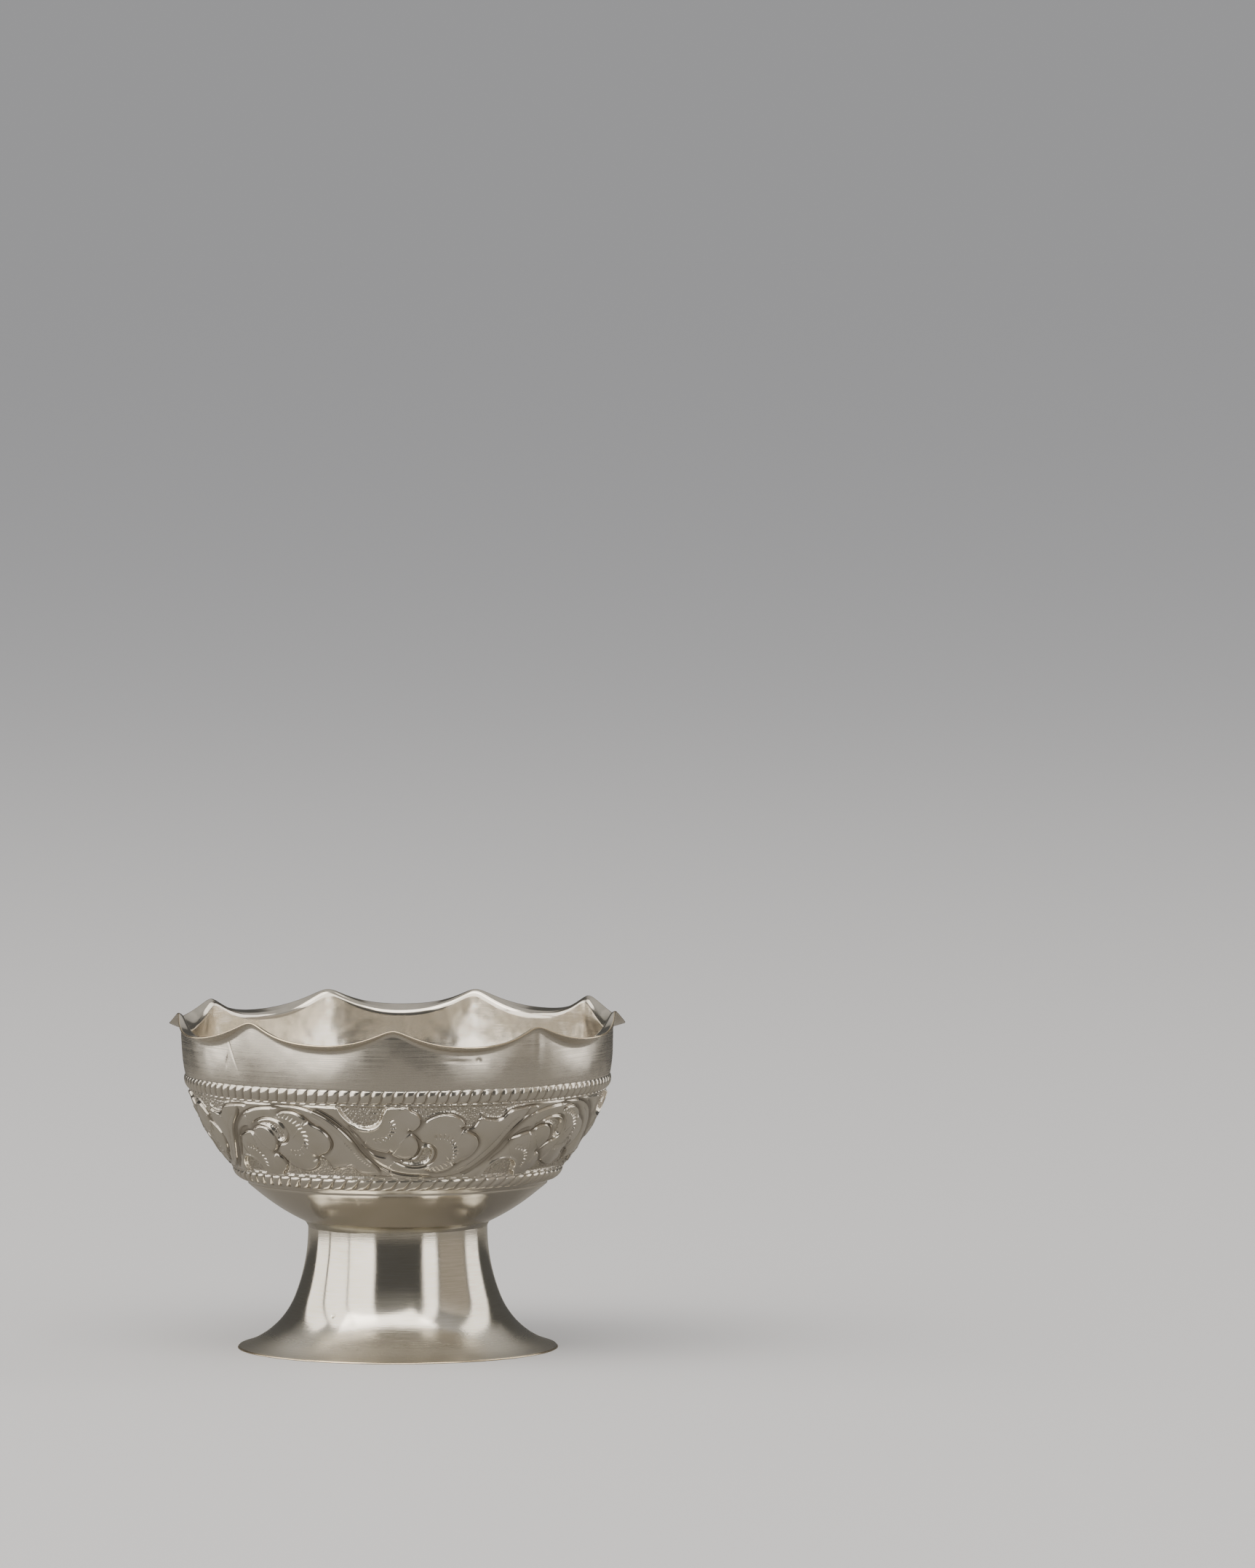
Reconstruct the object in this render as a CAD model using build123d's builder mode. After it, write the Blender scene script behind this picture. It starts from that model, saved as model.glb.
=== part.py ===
from build123d import *
from math import asin, cos, radians, sin, sqrt
import os

# A small footed silver cup with a scalloped, turned-out rim.
#
# Three pieces: a raised bowl, a spun trumpet foot, and the ring of solder that
# joins them. Millimetres, +Z up, origin on the floor at the centre of the foot.
# The front of the cup, where one rim tip stands, is towards -Y.

# Driving dimensions
sheet = 0.4  # thickness of the silver sheet

bowl_radius = 30.0  # outside of the hemisphere
bowl_centre_height = 44.7  # centre of that hemisphere above the floor

tip_count = 9  # rim tips, with one petal between each pair
tip_height = 46.9  # top of the rim tips
tip_flat = 0.35  # how far the sharp tips are cut down
crease_drop = 3.05  # from the tips down to the middle of a petal's crease
petal_tilt = 18.0  # degrees by which a petal rises outwards
petal_reach = 2.05  # how far a petal stands out beyond the wall
front_angle = -90.0  # direction of the front tip

upper_rope_height = 36.95
lower_rope_height = 24.4
rope_width = 2.0  # along the wall
rope_relief = 0.5  # how far the ropes stand out of the wall

neck_radius = 12.35
neck_bow_radius = 25.4  # the long hollow curve below the neck
neck_bow_angle = 22.0  # degrees turned along that curve
flare_radius = 11.5  # the tighter curve out to the edge of the foot
flare_angle = 53.0
foot_edge_height = 0.25  # top of the foot's edge above the floor
seam_width = 0.8  # of the solder, down the foot and out under the bowl

# Worked out from the driving dimensions
bowl_centre = (0, 0, bowl_centre_height)
half_step = radians(180 / tip_count)
tip_reach = bowl_radius * cos(half_step)
tip_half_gap = bowl_radius * sin(half_step)
crease_height = tip_height - crease_drop
tilt = radians(petal_tilt)

# The crease is cut by a roller lying under the tilt of the petal. Its sag is
# measured square to the roller, between the sharp tips and the crease.
sag = (crease_drop + tip_flat) * cos(tilt) + (bowl_radius - tip_reach) * sin(tilt)
roller_radius = (tip_half_gap**2 + sag**2) / (2 * sag)
roller_plane = Plane(
    origin=(
        bowl_radius - roller_radius * sin(tilt),
        0,
        crease_height + roller_radius * cos(tilt),
    ),
    x_dir=(0, 1, 0),
    z_dir=(cos(tilt), 0, sin(tilt)),
)
roller_half_length = 12.0

# Seen from above, a petal's outer edge is a circle through two tips.
edge_reach = bowl_radius + petal_reach - tip_reach
edge_radius = (tip_half_gap**2 + edge_reach**2) / (2 * edge_reach)
edge_centre = bowl_radius + petal_reach - edge_radius

# The foot's outside is upright at the neck and two arcs below it.
neck_turn = radians(neck_bow_angle)
edge_turn = radians(neck_bow_angle + flare_angle)
neck_end_height = (
    foot_edge_height
    + neck_bow_radius * sin(neck_turn)
    + flare_radius * (sin(edge_turn) - sin(neck_turn))
)


def sphere_height(radius):
    """Height of the bowl's outside at a distance from its axis, under its middle."""
    return bowl_centre_height - sqrt(bowl_radius**2 - radius**2)


def wall_point(angle, out):
    """A point on the bowl's section, at an angle below level seen from the bowl's
    centre, and standing out of the bowl's outside."""
    reach = bowl_radius + out
    return (reach * cos(angle), bowl_centre_height - reach * sin(angle))


# The roller that cuts the crease between two tips
with BuildPart() as roller:
    with BuildSketch(roller_plane):
        Circle(roller_radius)
    extrude(amount=roller_half_length, both=True)

# One petal: the sheet that wraps the roller, trimmed to its outline from above
with BuildPart() as petal:
    with BuildSketch(roller_plane):
        Circle(roller_radius + sheet)
        Circle(roller_radius, mode=Mode.SUBTRACT)
    extrude(amount=roller_half_length, both=True)
    with BuildSketch(Plane.XY.offset(crease_height - sheet)):
        with Locations((edge_centre, 0)):
            Circle(edge_radius)
        Circle(bowl_radius - sheet / 2, mode=Mode.SUBTRACT)
    extrude(amount=crease_drop + sheet, mode=Mode.INTERSECT)

# The bowl: a hemisphere with a short upright wall, the ropes and the petals
with BuildPart() as bowl:
    with BuildSketch(Plane.XZ):
        with BuildLine():
            outside = CenterArc(
                (0, bowl_centre_height), bowl_radius, start_angle=-90, arc_size=90
            )
            outside_wall = Line(outside @ 1, (bowl_radius, tip_height))
            rim = Line(outside_wall @ 1, (bowl_radius - sheet, tip_height))
            inside_wall = Line(rim @ 1, (bowl_radius - sheet, bowl_centre_height))
            inside = CenterArc(
                (0, bowl_centre_height), bowl_radius - sheet, start_angle=0, arc_size=-90
            )
            Line(inside @ 1, outside @ 0)
        make_face()
    revolve(axis=Axis.Z)
    for rope_height in (upper_rope_height, lower_rope_height):
        rope_angle = asin((bowl_centre_height - rope_height) / bowl_radius)
        half_angle = rope_width / 2 / bowl_radius
        below_rope = wall_point(rope_angle + half_angle, -sheet / 2)
        rope_crest = wall_point(rope_angle, rope_relief)
        above_rope = wall_point(rope_angle - half_angle, -sheet / 2)
        with BuildSketch(Plane.XZ):
            with BuildLine():
                ThreePointArc(below_rope, rope_crest, above_rope)
                Line(above_rope, below_rope)
            make_face()
        revolve(axis=Axis.Z)
    first_petal = front_angle + 180 / tip_count
    with PolarLocations(0, tip_count, start_angle=first_petal):
        add(roller.part, mode=Mode.SUBTRACT)
    with PolarLocations(0, tip_count, start_angle=first_petal):
        add(petal.part)
bowl.part.label = "bowl"

# The foot: a hollow trumpet, cut level at the floor and seated under the bowl
with BuildPart() as foot:
    with BuildSketch(Plane.XZ):
        with BuildLine():
            neck_top = sphere_height(neck_radius) + sheet
            ends = []
            for depth in (0, sheet):
                radius = neck_radius - depth
                neck = Line((radius, neck_top), (radius, neck_end_height))
                bow = JernArc(
                    neck @ 1, (0, -1), neck_bow_radius + depth, neck_bow_angle
                )
                flare = JernArc(bow @ 1, bow % 1, flare_radius + depth, flare_angle)
                ends.append((neck @ 0, flare @ 1))
            Line(ends[0][0], ends[1][0])
            Line(ends[0][1], ends[1][1])
        make_face()
    revolve(axis=Axis.Z)
    split(bisect_by=Plane.XY, keep=Keep.TOP)
    with Locations(bowl_centre):
        Sphere(bowl_radius, mode=Mode.SUBTRACT)
foot.part.label = "foot"

# The solder: a ring that fills the corner between the foot and the bowl
with BuildPart() as solder_seam:
    seam_foot = (neck_radius, sphere_height(neck_radius) - seam_width)
    seam_corner = (neck_radius, sphere_height(neck_radius))
    seam_bowl = (neck_radius + seam_width, sphere_height(neck_radius + seam_width))
    with BuildSketch(Plane.XZ):
        with BuildLine():
            Line(seam_foot, seam_corner)
            RadiusArc(seam_corner, seam_bowl, -bowl_radius)
            Line(seam_bowl, seam_foot)
        make_face()
    revolve(axis=Axis.Z)
solder_seam.part.label = "solder_seam"

os.makedirs("parts", exist_ok=True)
for piece in (bowl, foot, solder_seam):
    export_step(piece.part, f"parts/{piece.part.label}.step")
    print(piece.part.label, round(piece.part.volume, 1), "mm3")
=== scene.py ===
"""Looks of a small footed silver cup: chased bowl, spun foot, solder seam.

The shapes are worked out in millimetres and written to the meshes in metres.
Azimuth is in degrees from the front of the cup (-Y), positive to the right.
A place up or down the bowl's wall is an arc: degrees below level, seen from
the middle of the bowl.
"""

import math
from typing import NamedTuple

import bpy
import numpy as np
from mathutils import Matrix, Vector


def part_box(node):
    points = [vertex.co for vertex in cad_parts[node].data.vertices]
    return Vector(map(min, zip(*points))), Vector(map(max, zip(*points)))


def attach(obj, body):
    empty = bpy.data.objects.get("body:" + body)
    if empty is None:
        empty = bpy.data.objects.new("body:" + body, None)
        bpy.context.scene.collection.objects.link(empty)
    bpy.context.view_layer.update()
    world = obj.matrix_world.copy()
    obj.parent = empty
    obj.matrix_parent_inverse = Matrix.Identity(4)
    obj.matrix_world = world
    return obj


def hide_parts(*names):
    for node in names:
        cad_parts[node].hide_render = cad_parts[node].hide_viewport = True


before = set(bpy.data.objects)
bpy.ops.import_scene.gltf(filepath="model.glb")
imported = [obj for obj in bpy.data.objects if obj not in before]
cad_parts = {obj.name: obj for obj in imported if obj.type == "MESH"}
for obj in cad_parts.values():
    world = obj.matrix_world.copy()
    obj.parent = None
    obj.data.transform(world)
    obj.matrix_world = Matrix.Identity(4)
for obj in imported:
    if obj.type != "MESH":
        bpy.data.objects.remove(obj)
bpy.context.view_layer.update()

MM = 0.001
BODY = "root"
SEED = 7

# ---------------------------------------------------------------- sizes, mm

COLUMNS = 2160  # mesh columns round the bowl
FINE_SPACING = 0.08  # between mesh rows on the chasing

bowl_low, bowl_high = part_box("bowl")

SHEET = 0.4
EDGE_SHEET = 0.3  # the sheet is a little thinner at the rim
BOWL_RADIUS = 30.0
BOWL_CENTRE = bowl_low.z / MM + BOWL_RADIUS
WALL_MM_PER_DEGREE = 0.52  # of azimuth or of arc

PETALS = 9
PETAL_STEP = 360 / PETALS
HALF_STEP = math.radians(PETAL_STEP / 2)
TIP_HEIGHT = bowl_high.z / MM - 0.05
PETAL_REACH = (bowl_high.x - bowl_low.x) / 2 / MM - BOWL_RADIUS + 0.2
PETAL_TURN = 72.0  # degrees from upright to the petal
CREASE_DROP = 3.8  # from the rim tips down to where a petal starts to bend
BEND_RADIUS = 0.7  # on the outer face
TIP_ROUNDING = 1.2  # along the rim, where two bends meet
TIP_LIP = 0.42  # the turned-out sheet is this wide where two petals meet
WALL_FLATTENING = 0.55  # how far the wall between two tips lies inside the circle

# Hand work: no two tips stand quite alike, and the whole rim leans forward.
# One value for each tip or petal, from the front round by the right.
TIP_OFFSETS = (-0.7, -0.65, 0.0, 0.5, 0.35, 0.35, 0.05, -0.25, -0.1)
PETAL_OFFSETS = (0.1, -0.12, 0.05, 0.1, -0.05, 0.1, 0.05, -0.1, 0.05)
PETAL_LEANS = (2.0, -4.0, 3.0, 5.0, -3.0, 2.0, -5.0, 4.0, 0.0)
PETAL_GROWTH = (0.0, 0.12, -0.1, 0.1, 0.0, -0.12, 0.1, 0.05, -0.08)
LEVEL = (0,) * PETALS


class Rope(NamedTuple):
    """A chased rope, and the row of small dashes punched beside it."""

    low: float  # arc of its lower side
    high: float  # arc of its upper side
    strands: int
    height: float
    lean: float  # how far each groove leans, in strands
    dash_low: float
    dash_high: float
    dash_height: float


UPPER_ROPE = Rope(16.86, 13.1, 120, 0.5, 0.26, 17.5, 16.86, 0.2)
LOWER_ROPE = Rope(44.83, 40.8, 80, 0.55, 0.42, 40.8, 40.06, 0.18)

# The chased band between the ropes, and the shallow recess below them
BAND_LOW = 40.04
BAND_HIGH = 17.53
BAND_WIDTH = math.radians(BAND_LOW - BAND_HIGH) * BOWL_RADIUS
BAND_MM_PER_DEGREE = 0.45  # of azimuth, along the middle of the band
RELIEF = 0.52  # from the bottom of a groove to the top of a leaf
GROUND_DEPTH = 0.14  # of the stippled ground, below the plain wall
STIPPLE_PITCH = 0.31
STIPPLE_SIZE = 0.12
STIPPLE_DEPTH = 0.13
RECESS_LOW = 46.6
RECESS_DEPTH = 0.1

# Marks on the wall: (azimuth, arc), (width, height), depth, and the lean in
# degrees of azimuth for each degree of arc.
WALL_MARKS = (
    ((-48.5, 4.0), (0.16, 1.7), 0.13, 0.5),  # the long scratch at the left
    ((-50.5, 7.0), (0.18, 0.8), 0.08, -0.3),  # a short one beside it
    ((17, 5.6), (1.6, 0.24), 0.09, 0.0),  # the crease right of the middle
    ((23, 5.4), (0.4, 0.28), 0.08, 0.0),  # the nick at its end
    ((-78, 4.0), (0.8, 1.4), 0.05, 0.0),  # a shallow dent at the far left
    ((40.5, 2.0), (0.9, 5.0), -0.12, 0.0),  # the ridge under the right-hand tip
)

NECK_RADIUS = 12.35
BOW_RADIUS = 25.4  # the long hollow curve below the neck
BOW_TURN = math.radians(22.0)
FLARE_RADIUS = 11.5  # the tighter curve out to the foot's edge
FLARE_TURN = math.radians(53.0)
FOOT_EDGE_HEIGHT = 0.25
FOOT_MM_PER_DEGREE = 0.262  # of azimuth, half-way up the foot
PIT_AZIMUTH = -35.0
PIT_RUN = 9.0  # up the foot from its edge
PIT_SIZE = 0.22
PIT_DEPTH = 0.14


def under_bowl(radius):
    """Height of the bowl's outside at a distance from the axis."""
    return BOWL_CENTRE - np.sqrt(BOWL_RADIUS**2 - radius**2)


# ------------------------------------------------------------- small helpers


def smoothstep(low, high, value):
    t = np.clip((value - low) / (high - low), 0.0, 1.0)
    return t * t * (3 - 2 * t)


def bell(distance, width):
    """1 at no distance, and next to nothing two widths away."""
    return np.exp(-((distance / width) ** 2))


def around(columns):
    """Azimuths of a number of mesh columns."""
    return -180 + np.arange(columns) * 360 / columns


def periodic_noise(rng, azimuth, height, size, octaves=3):
    """Smooth seeded noise around the cup, about -1 to 1. size is in degrees."""
    total = np.zeros(np.broadcast(azimuth, height).shape)
    for octave in range(octaves):
        waves = max(2, int(360 / size * 2**octave))
        for _ in range(6):
            turns = rng.integers(waves // 2, waves + 1)
            rise = rng.uniform(-1, 1) * 2**octave / (size * BAND_MM_PER_DEGREE)
            phase = rng.uniform(0, 2 * math.pi)
            angle = np.radians(turns * azimuth) + 2 * math.pi * rise * height + phase
            total += np.sin(angle) / 2**octave
    return total / 6


def spline(points, closed=False):
    """A Catmull-Rom curve through (azimuth, band fraction) points, in mm."""
    knots = np.array(points, float) * (BAND_MM_PER_DEGREE, BAND_WIDTH)
    if closed:
        knots = np.vstack((knots[-1], knots, knots[0], knots[1]))
    else:
        first = 2 * knots[0] - knots[1]
        last = 2 * knots[-1] - knots[-2]
        knots = np.vstack((first, knots, last))
    t = np.linspace(0, 1, 10, endpoint=False)[:, None]
    spans = []
    for a, b, c, d in zip(knots, knots[1:], knots[2:], knots[3:]):
        square = (2 * a - 5 * b + 4 * c - d) * t**2
        cube = (3 * b - a - 3 * c + d) * t**3
        spans.append(0.5 * (2 * b + (c - a) * t + square + cube))
    spans.append(knots[-2:-1])
    return np.vstack(spans)


# -------------------------------------------------- the chased vine, one tile
#
# The vine repeats every 90 degrees, and its second half is the first half
# upside down. Points are (azimuth, fraction of the band's height) and a curve
# keeps its leaf on its right-hand side.

TILE_PER_DEGREE = 12
TILE_WIDTH = 90 * TILE_PER_DEGREE
TILE_HEIGHT = 240

VINE_LEFT = [(-37, 0.975), (-30, 0.985), (-25, 0.955), (-20, 0.865), (-17, 0.765),
             (-14.5, 0.66), (-12, 0.53), (-10.5, 0.42), (-8.5, 0.31), (-6.5, 0.22),
             (-5, 0.14), (-4, 0.06)]
VINE_RIGHT = [(-23, 0.97), (-20, 0.92), (-17, 0.835), (-14, 0.71), (-11.5, 0.575),
              (-9.5, 0.44), (-7.5, 0.325), (-5, 0.22), (-2.5, 0.145), (0, 0.1), (3, 0.065),
              (7, 0.045), (13, 0.035)]
VINE_OUTER = [(-14, 0.79), (-12.5, 0.71), (-10.5, 0.62), (-8.5, 0.5), (-7, 0.41),
              (-5.5, 0.355), (-3.5, 0.325), (-1.5, 0.318)]
VINE_FLUTES = (
    [(-18, 0.9), (-15, 0.79), (-12, 0.655), (-10, 0.53), (-8, 0.39), (-6, 0.29),
     (-3.5, 0.2), (0, 0.135)],
    [(-25, 0.9), (-21, 0.81), (-18, 0.7), (-15.5, 0.58), (-13.5, 0.47), (-12, 0.38)],
)

DROP_LOBES = (
    [(-34.5, 0.875), (-33, 0.9), (-31, 0.91), (-29, 0.903), (-27, 0.868), (-25, 0.8)],
    [(-25, 0.8), (-23.5, 0.745), (-21.5, 0.705), (-19.7, 0.63), (-18.8, 0.54),
     (-19, 0.465), (-20.3, 0.39), (-22.3, 0.345), (-24.6, 0.3)],
    [(-24.6, 0.3), (-24.1, 0.25), (-25, 0.19), (-26.4, 0.14), (-28.5, 0.105), (-31, 0.1),
     (-33.5, 0.13), (-36.4, 0.195)],
)
DROP_PIT = [(-42, 0.735), (-40, 0.77), (-37.5, 0.78), (-35, 0.745), (-33.7, 0.665),
            (-33.6, 0.575), (-35, 0.535), (-36.2, 0.55), (-36.7, 0.61), (-37.5, 0.675),
            (-39, 0.715)]
DROP_RING = [(-45.5, 0.71), (-43.3, 0.765), (-41, 0.805), (-38.5, 0.822), (-36, 0.812),
             (-34, 0.775), (-32.6, 0.7), (-32.2, 0.61), (-33, 0.53), (-34.5, 0.485),
             (-36.2, 0.468), (-37.6, 0.43), (-39, 0.375), (-40.3, 0.335)]
EYE_LOBES = (
    [(-54.5, 0.52), (-53, 0.545), (-51, 0.575), (-48.5, 0.61), (-46.2, 0.625)],
    [(-46.2, 0.625), (-44.5, 0.675), (-42.3, 0.703), (-40.2, 0.695), (-38.5, 0.65),
     (-37.5, 0.57), (-37.5, 0.49), (-38.5, 0.4), (-40.3, 0.335)],
    [(-40.3, 0.335), (-38.4, 0.295), (-37.3, 0.235), (-37.2, 0.165), (-38.3, 0.09),
     (-40, 0.045), (-41, -0.02)],
)
HALF_EYE = [(-60.2, -0.04), (-60, 0.03), (-59, 0.12), (-57.3, 0.2), (-55, 0.255),
            (-52.5, 0.272), (-50.3, 0.25), (-48.7, 0.19), (-47.9, 0.1), (-47.8, -0.04)]
HALF_EYE_RING = [(-56.6, 0.04), (-55.8, 0.12), (-53.9, 0.175), (-52, 0.165),
                 (-50.8, 0.11), (-50.6, 0.04)]
SMALL_LEAF = (
    [(-24.6, 0.3), (-22.8, 0.295), (-21.5, 0.265), (-20.8, 0.205), (-20, 0.13)],
    [(-20, 0.13), (-18.5, 0.165), (-16.5, 0.178), (-14.5, 0.184), (-13, 0.162),
     (-11.8, 0.11), (-10, 0.07), (-6, 0.05), (-1, 0.035)],
)
GROUND = [(-24.2, 0.28), (-22.8, 0.28), (-21.4, 0.25), (-20.7, 0.19), (-20, 0.115),
          (-18.5, 0.15), (-16.5, 0.163), (-14.5, 0.168), (-13, 0.147), (-11.9, 0.093),
          (-10.3, 0.055), (-7, 0.03), (-6, -0.04), (-20, -0.04), (-41, -0.04),
          (-40.2, 0.03), (-38.2, 0.08), (-37, 0.15), (-36.4, 0.185), (-35, 0.142),
          (-33, 0.107), (-31, 0.085), (-28.5, 0.088), (-26, 0.13), (-24.6, 0.185)]

DROP_HATCH = [(-34.5, 0.865), (-32.5, 0.86), (-30.7, 0.835), (-29, 0.795),
              (-27.4, 0.725), (-26.4, 0.64), (-26.5, 0.555), (-27.2, 0.47),
              (-28.6, 0.405), (-30.5, 0.375), (-33, 0.375)]
EYE_HATCH = [(-51, 0.435), (-49, 0.425), (-47.3, 0.4), (-45.9, 0.35), (-45.1, 0.29),
             (-45, 0.23), (-45.4, 0.17), (-46, 0.12)]
STEM_HATCH = [(-14.8, 0.54), (-12.7, 0.42), (-11, 0.32), (-9.3, 0.24), (-7.3, 0.17)]


class Tile:
    """Height and finish of the chased vine on a flat grid, in mm."""

    def __init__(self):
        self.x = (np.arange(TILE_WIDTH) / TILE_PER_DEGREE - 90) * BAND_MM_PER_DEGREE
        self.y = np.linspace(0, BAND_WIDTH, TILE_HEIGHT + 1)
        shape = (TILE_HEIGHT + 1, TILE_WIDTH)
        self.level = np.ones(shape)  # 1 where the leaves stand, 0 in a groove
        self.raised = np.zeros(shape)  # lips beside the grooves
        self.bright = np.zeros(shape)  # 1 where the tool burnished the silver
        self.floor = np.zeros(shape)  # 1 on the sunken ground

    def windows(self, line, reach):
        """The line where it stands and one period to the left, each with the
        part of the grid that lies near it."""
        for copy in (line, line - (90 * BAND_MM_PER_DEGREE, 0)):
            low = copy.min(axis=0) - reach
            high = copy.max(axis=0) + reach
            columns = slice(*np.searchsorted(self.x, (low[0], high[0])))
            rows = slice(*np.searchsorted(self.y, (low[1], high[1])))
            if rows.start < rows.stop and columns.start < columns.stop:
                yield copy, (rows, columns)

    def distances(self, line, window):
        """Distance to the line, side (+1 right, -1 left), place along it, and
        its length."""
        rows, columns = window
        x, y = np.meshgrid(self.x[columns], self.y[rows])
        best = np.full(x.shape, 1e9)
        side = np.ones(x.shape)
        along = np.zeros(x.shape)
        lengths = np.hypot(*np.diff(line, axis=0).T)
        starts = np.concatenate(([0], np.cumsum(lengths)))
        for (x0, y0), (x1, y1), length, start in zip(line, line[1:], lengths, starts):
            ux = (x1 - x0) / length
            uy = (y1 - y0) / length
            t = np.clip((x - x0) * ux + (y - y0) * uy, 0, length)
            dx = x - x0 - t * ux
            dy = y - y0 - t * uy
            d = np.hypot(dx, dy)
            nearer = d < best
            best = np.where(nearer, d, best)
            side = np.where(nearer, np.where(ux * dy - uy * dx > 0, -1.0, 1.0), side)
            along = np.where(nearer, start + t, along)
        return best, side, along, starts[-1]

    def burnish(self, window, shine):
        self.bright[window] = np.maximum(self.bright[window], shine)

    def groove(self, points, steep=0.16, gentle=0.45, depth=1.0, ends=0.8, bright=1.0):
        """A chased line: a steep wall on the leaf's side, a gentle one outside.

        ends is how deep the line is where it ends, over its depth elsewhere.
        """
        for line, window in self.windows(spline(points), 3.0):
            d, side, along, length = self.distances(line, window)
            inner = np.clip(np.minimum(along, length - along) / 0.9, 0, 1)
            strength = depth * (ends + (1 - ends) * smoothstep(0, 1, inner))
            side = side * smoothstep(0, 0.6, inner)
            width = (steep + gentle) / 2 + (steep - gentle) / 2 * side
            shoulder = 0.95 + 0.1 * side
            round_off = 0.4 * np.exp(-d / shoulder) * smoothstep(3.0, 1.8, d)
            cut = 0.6 * np.exp(-((d / width) ** 1.4)) + round_off
            self.level[window] *= 1 - strength * cut
            self.raised[window] += 0.26 * bright * strength * bell(d * side - 0.2, 0.11)
            self.burnish(window, bright * strength * bell(d, 0.26))

    def inside(self, line, window):
        """Which points of the grid lie inside a closed line."""
        rows, columns = window
        x, y = np.meshgrid(self.x[columns], self.y[rows])
        inside = np.zeros(x.shape, bool)
        for (x0, y0), (x1, y1) in zip(line, line[1:]):
            crosses = (y0 > y) != (y1 > y)
            run = np.where(crosses, (x1 - x0) * (y - y0) / (y1 - y0 + 1e-12) + x0, 0)
            inside ^= crosses & (x < run)
        return inside

    def sunk(self, points, lip=0.3):
        """A closed field set down to the ground, with a lip round it."""
        for line, window in self.windows(spline(points, closed=True), 2.0):
            d = self.distances(line, window)[0]
            inward = np.where(self.inside(line, window), d, -d)
            depth = smoothstep(-0.08, 0.28, inward)
            self.floor[window] = np.maximum(self.floor[window], depth)
            self.raised[window] += lip * bell(inward + 0.2, 0.17)
            self.burnish(window, bell(inward + 0.05, 0.2))

    def hatch(self, points, length, pitch, depth=0.42):
        """Short punched strokes that stand across a line."""
        line = spline(points)
        steps = np.hypot(*np.diff(line, axis=0).T)
        run = np.concatenate(([0], np.cumsum(steps)))
        for place in np.arange(pitch / 2, run[-1], pitch):
            i = min(np.searchsorted(run, place), len(line) - 1)
            heading = line[i] - line[i - 1]
            middle = line[i - 1] + heading * (
                (place - run[i - 1]) / max(run[i] - run[i - 1], 1e-9)
            )
            across = np.array((-heading[1], heading[0])) / np.hypot(*heading)
            lean = across + 0.25 * heading / np.hypot(*heading)
            reach = lean * length / 2
            self.stroke(np.linspace(middle - reach, middle + reach, 6), depth)

    def stroke(self, line, depth):
        """One punched stroke, deepest in its middle."""
        for copy, window in self.windows(line, 0.6):
            d, _, along, length = self.distances(copy, window)
            taper = np.sqrt(np.clip(1 - (2 * along / length - 1) ** 2, 0, 1))
            self.level[window] *= 1 - depth * taper * bell(d, 0.11)
            self.burnish(window, 0.5 * taper * bell(d, 0.14))

    def draw(self):
        self.groove(VINE_LEFT, steep=0.2, gentle=0.3, ends=0.4)
        self.groove(VINE_RIGHT, steep=0.3, gentle=0.2, depth=0.9, ends=0.2)
        self.groove(VINE_OUTER, steep=0.2, depth=0.8, ends=0.3)
        for flute in VINE_FLUTES:
            self.groove(flute, depth=0.35, gentle=0.2, ends=0.0, bright=0.4)
        for lobe in DROP_LOBES + EYE_LOBES:
            self.groove(lobe, steep=0.22)
        for lobe in SMALL_LEAF:
            self.groove(lobe[::-1], steep=0.2, gentle=0.35)
        self.groove(DROP_RING[::-1], steep=0.22, gentle=0.3, depth=0.85, ends=0.5)
        self.groove(HALF_EYE_RING[::-1], depth=0.5, gentle=0.25, ends=0.2)
        self.sunk(DROP_PIT)
        self.sunk(HALF_EYE)
        self.sunk(GROUND, lip=0.0)
        self.hatch(DROP_HATCH, 0.85, 0.6)
        self.hatch(EYE_HATCH, 0.75, 0.58)
        self.hatch(STEM_HATCH, 0.45, 0.42, depth=0.3)

    def add_mirror(self):
        """Adds the upside-down half, half a period further on."""

        def mirrored(grid):
            return np.roll(grid[::-1], TILE_WIDTH // 2, axis=1)

        self.level = self.level * mirrored(self.level)
        self.raised = self.raised + mirrored(self.raised)
        self.bright = np.maximum(self.bright, mirrored(self.bright))
        self.floor = np.maximum(self.floor, mirrored(self.floor))


def sample(grid, column, row):
    """Reads a grid between its points, wrapping round in azimuth."""
    c0 = np.floor(column).astype(int)
    r0 = np.clip(np.floor(row).astype(int), 0, grid.shape[0] - 2)
    fc = column - c0
    fr = np.clip(row - r0, 0, 1)
    c1 = (c0 + 1) % grid.shape[1]
    c0 = c0 % grid.shape[1]
    low = grid[r0, c0] * (1 - fc) + grid[r0, c1] * fc
    high = grid[r0 + 1, c0] * (1 - fc) + grid[r0 + 1, c1] * fc
    return low * (1 - fr) + high * fr


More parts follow.
